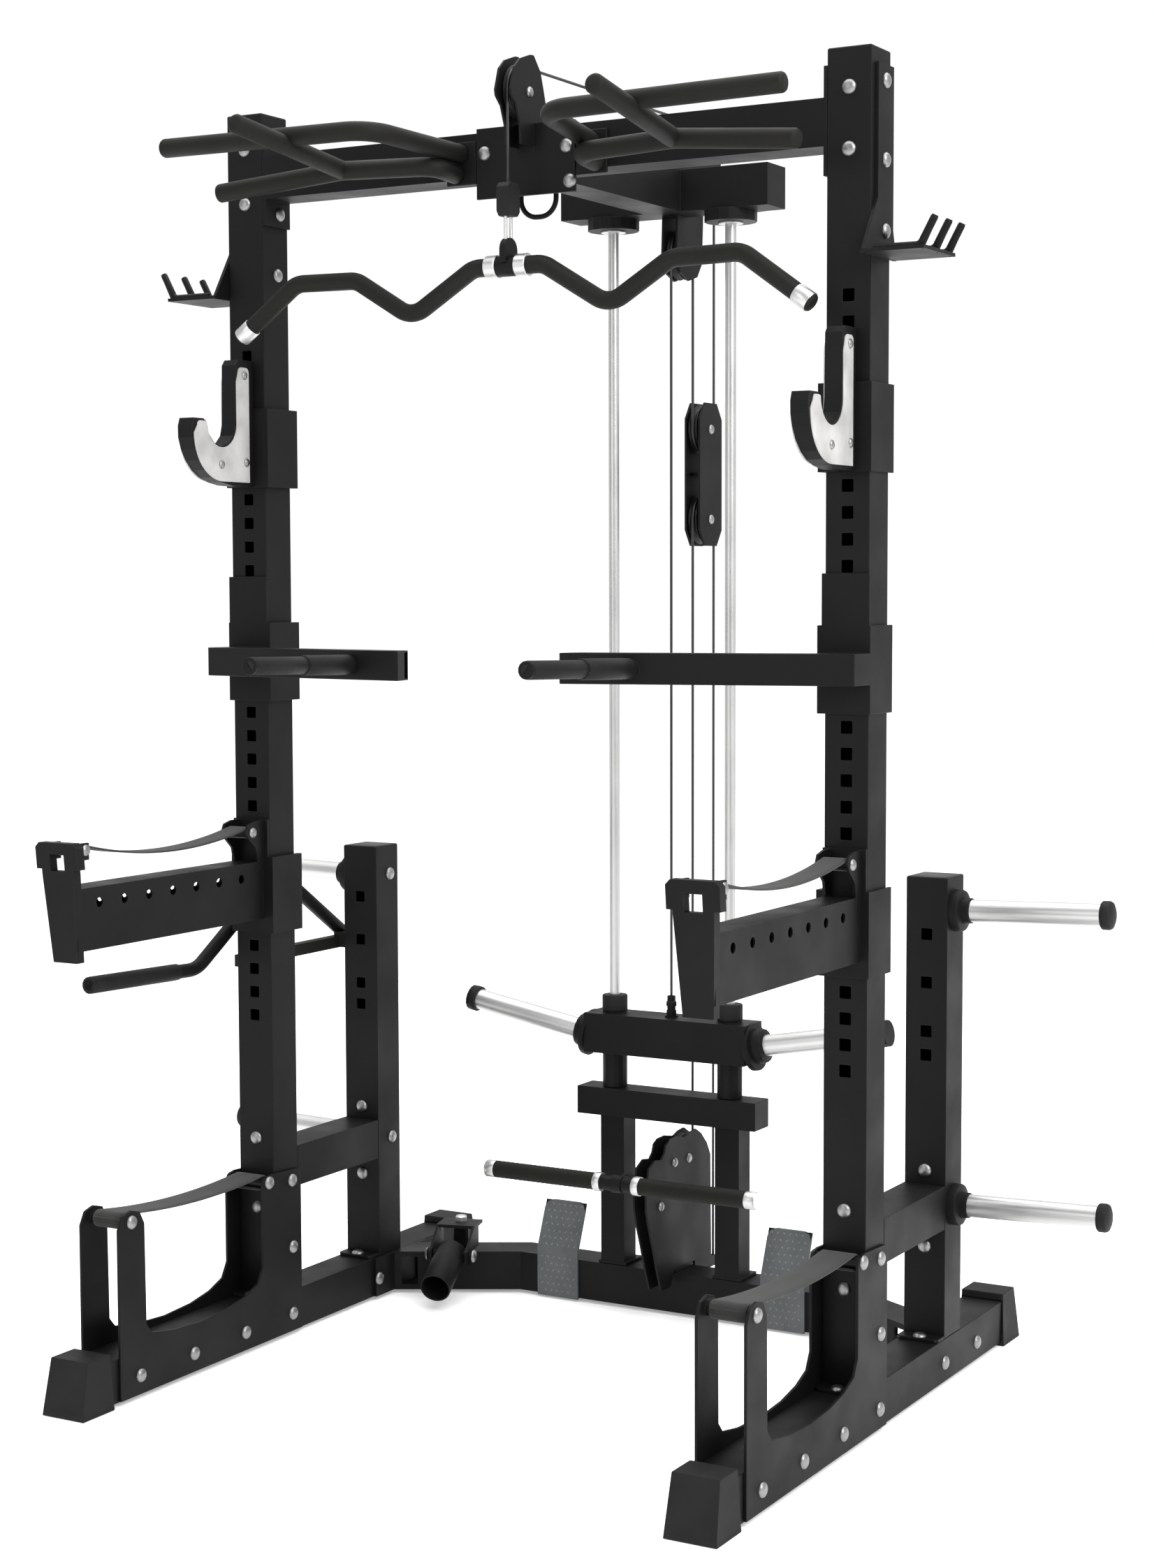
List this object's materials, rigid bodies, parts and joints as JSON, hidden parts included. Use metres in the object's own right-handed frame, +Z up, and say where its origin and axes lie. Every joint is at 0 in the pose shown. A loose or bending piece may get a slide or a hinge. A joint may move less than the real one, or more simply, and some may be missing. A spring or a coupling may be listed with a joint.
{
  "type": "cable crossover machine",
  "caption": "Plate-loaded half rack with overhead and low cable pulleys, lat bar, row bar, pull-up grips, dip handles, bar hooks and spotter arms on perforated uprights.",
  "frame": {"origin": "centre of the footprint, on the floor", "axes": "+Z up, -Y the open front where the user stands, +X to the right seen from the front"},
  "size_m": [1.802, 1.235, 2.25],
  "materials": {
    "black_paint": "matte black powder coat",
    "grip_paint": "textured black coat on the gripped bars",
    "rubber": "matte moulded rubber",
    "chrome": "bright plated steel",
    "webbing": "woven nylon webbing",
    "nylon": "black moulded nylon",
    "cable": "black sheath over wire rope"
  },
  "bodies": {
    "frame": {"foot_tube_left": "black_paint", "rubber_foot_front_left": "rubber", "rubber_foot_rear_left": "rubber", "upright_left": "black_paint", "rear_post_left": "black_paint", "side_link_left": "black_paint", "base_bracket_left": "black_paint", "low_strap_left": "webbing", "pullup_grips_left": "grip_paint", "storage_hook_left": "black_paint", "guide_rod_left": "chrome", "storage_peg_upper_left": "chrome", "storage_peg_lower_left": "chrome", "foot_tube_right": "black_paint", "rubber_foot_front_right": "rubber", "rubber_foot_rear_right": "rubber", "upright_right": "black_paint", "rear_post_right": "black_paint", "side_link_right": "black_paint", "base_bracket_right": "black_paint", "low_strap_right": "webbing", "pullup_grips_right": "grip_paint", "storage_hook_right": "black_paint", "guide_rod_right": "chrome", "storage_peg_upper_right": "chrome", "storage_peg_lower_right": "chrome", "crossbeam": "black_paint", "front_pulley_bracket": "black_paint", "rear_top_frame": "black_paint", "rear_pulley_bracket": "black_paint", "base_beam": "black_paint", "mast": "black_paint", "low_pulley_bracket": "black_paint", "side_handle": "grip_paint", "lat_cable_drop": "cable", "lat_cable_top": "cable", "lat_cable_loop": "cable", "lat_cable_carriage": "cable", "row_cable_loop": "cable", "row_cable_low": "cable"},
    "carriage": {"carriage": "black_paint"},
    "lat_bar": {"lat_bar": "grip_paint"},
    "block": {"floating_block": "black_paint"},
    "row_bar": {"row_bar": "grip_paint"},
    "front_pulley": {"front_pulley": "nylon"},
    "top_pulley": {"top_pulley": "nylon"},
    "middle_pulley": {"middle_pulley": "nylon"},
    "low_pulley": {"low_pulley": "nylon"},
    "block_upper_pulley": {"block_upper_pulley": "nylon"},
    "block_lower_pulley": {"block_lower_pulley": "nylon"},
    "landmine_yoke": {"landmine_yoke": "black_paint"},
    "landmine_sleeve": {"landmine_sleeve": "black_paint"},
    "j_hook_left": {"j_hook_left": "black_paint"},
    "dip_arm_left": {"dip_arm_left": "black_paint"},
    "spotter_left": {"spotter_arm_left": "black_paint", "spotter_strap_left": "webbing"},
    "j_hook_right": {"j_hook_right": "black_paint"},
    "dip_arm_right": {"dip_arm_right": "black_paint"},
    "spotter_right": {"spotter_arm_right": "black_paint", "spotter_strap_right": "webbing"}
  },
  "joints": [
    {"name": "carriage_lift", "type": "slide", "parent": "frame", "child": "carriage", "axis": [0, 0, 1], "range_m": [0, 0.42], "deforming": ["lat_cable_carriage"]},
    {"name": "lat_bar_pull", "type": "slide", "parent": "frame", "child": "lat_bar", "axis": [0, 0, -1], "range_m": [0, 0.42], "deforming": ["lat_cable_drop"]},
    {"name": "row_pull", "type": "slide", "parent": "frame", "child": "row_bar", "axis": [0, -1, 0], "range_m": [0, 0.9], "stiffness_N_per_m": 20, "springref_m": -7, "deforming": ["row_cable_low"]},
    {"name": "block_travel", "type": "slide", "parent": "frame", "child": "block", "axis": [0, 0, -1], "range_m": [0, 0.45], "deforming": ["lat_cable_loop", "row_cable_loop"]},
    {"name": "front_pulley_spin", "type": "hinge", "parent": "frame", "child": "front_pulley", "pos_m": [0, -0.095, 2.188], "axis": [1, 0, 0], "range_deg": [0, 554.2]},
    {"name": "top_pulley_spin", "type": "hinge", "parent": "frame", "child": "top_pulley", "pos_m": [0, 0.57, 2.188], "axis": [1, 0, 0], "range_deg": [0, 554.2]},
    {"name": "block_upper_spin", "type": "hinge", "parent": "block", "child": "block_upper_pulley", "pos_m": [0, 0.57, 1.668], "axis": [1, 0, 0], "range_deg": [0, 554.2]},
    {"name": "middle_pulley_spin", "type": "hinge", "parent": "frame", "child": "middle_pulley", "pos_m": [0, 0.483, 1.985], "axis": [1, 0, 0], "range_deg": [-554.2, 0]},
    {"name": "low_pulley_spin", "type": "hinge", "parent": "frame", "child": "low_pulley", "pos_m": [0, 0.483, 0.2915], "axis": [1, 0, 0], "range_deg": [-1186.4, 0]},
    {"name": "block_lower_spin", "type": "hinge", "parent": "block", "child": "block_lower_pulley", "pos_m": [0, 0.57, 1.499], "axis": [1, 0, 0], "range_deg": [0, 593.7]},
    {"name": "landmine_swivel", "type": "hinge", "parent": "frame", "child": "landmine_yoke", "pos_m": [-0.4454, 0.4017, 0.128], "axis": [0, 0, 1], "range_deg": [-13, 39]},
    {"name": "landmine_tilt", "type": "hinge", "parent": "landmine_yoke", "child": "landmine_sleeve", "pos_m": [-0.42473, 0.32961, 0.084], "axis": [-0.9613, -0.2756, 0], "range_deg": [0, 114]},
    {"name": "j_hook_left_height", "type": "slide", "parent": "frame", "child": "j_hook_left", "axis": [0, 0, 1], "range_m": [-0.0423, 0.0846]},
    {"name": "dip_arm_left_height", "type": "slide", "parent": "frame", "child": "dip_arm_left", "axis": [0, 0, 1], "range_m": [-0.1269, 0.0423]},
    {"name": "spotter_left_height", "type": "slide", "parent": "frame", "child": "spotter_left", "axis": [0, 0, 1], "range_m": [-0.0423, 0.0423]},
    {"name": "j_hook_right_height", "type": "slide", "parent": "frame", "child": "j_hook_right", "axis": [0, 0, 1], "range_m": [-0.0423, 0.0846]},
    {"name": "dip_arm_right_height", "type": "slide", "parent": "frame", "child": "dip_arm_right", "axis": [0, 0, 1], "range_m": [-0.1269, 0.0423]},
    {"name": "spotter_right_height", "type": "slide", "parent": "frame", "child": "spotter_right", "axis": [0, 0, 1], "range_m": [-0.0423, 0.0423]}
  ],
  "couplings": [
    {"joint": "lat_bar_pull", "follows": "carriage_lift", "ratio": 1},
    {"joint": "front_pulley_spin", "follows": "carriage_lift", "rad_per_m": 22.989},
    {"joint": "top_pulley_spin", "follows": "carriage_lift", "rad_per_m": 22.989},
    {"joint": "block_upper_spin", "follows": "carriage_lift", "rad_per_m": 22.989},
    {"joint": "middle_pulley_spin", "follows": "carriage_lift", "rad_per_m": -22.989},
    {"joint": "block_travel", "follows": "row_pull", "ratio": 0.5},
    {"joint": "low_pulley_spin", "follows": "row_pull", "rad_per_m": -22.989},
    {"joint": "block_lower_spin", "follows": "row_pull", "rad_per_m": 11.494}
  ]
}
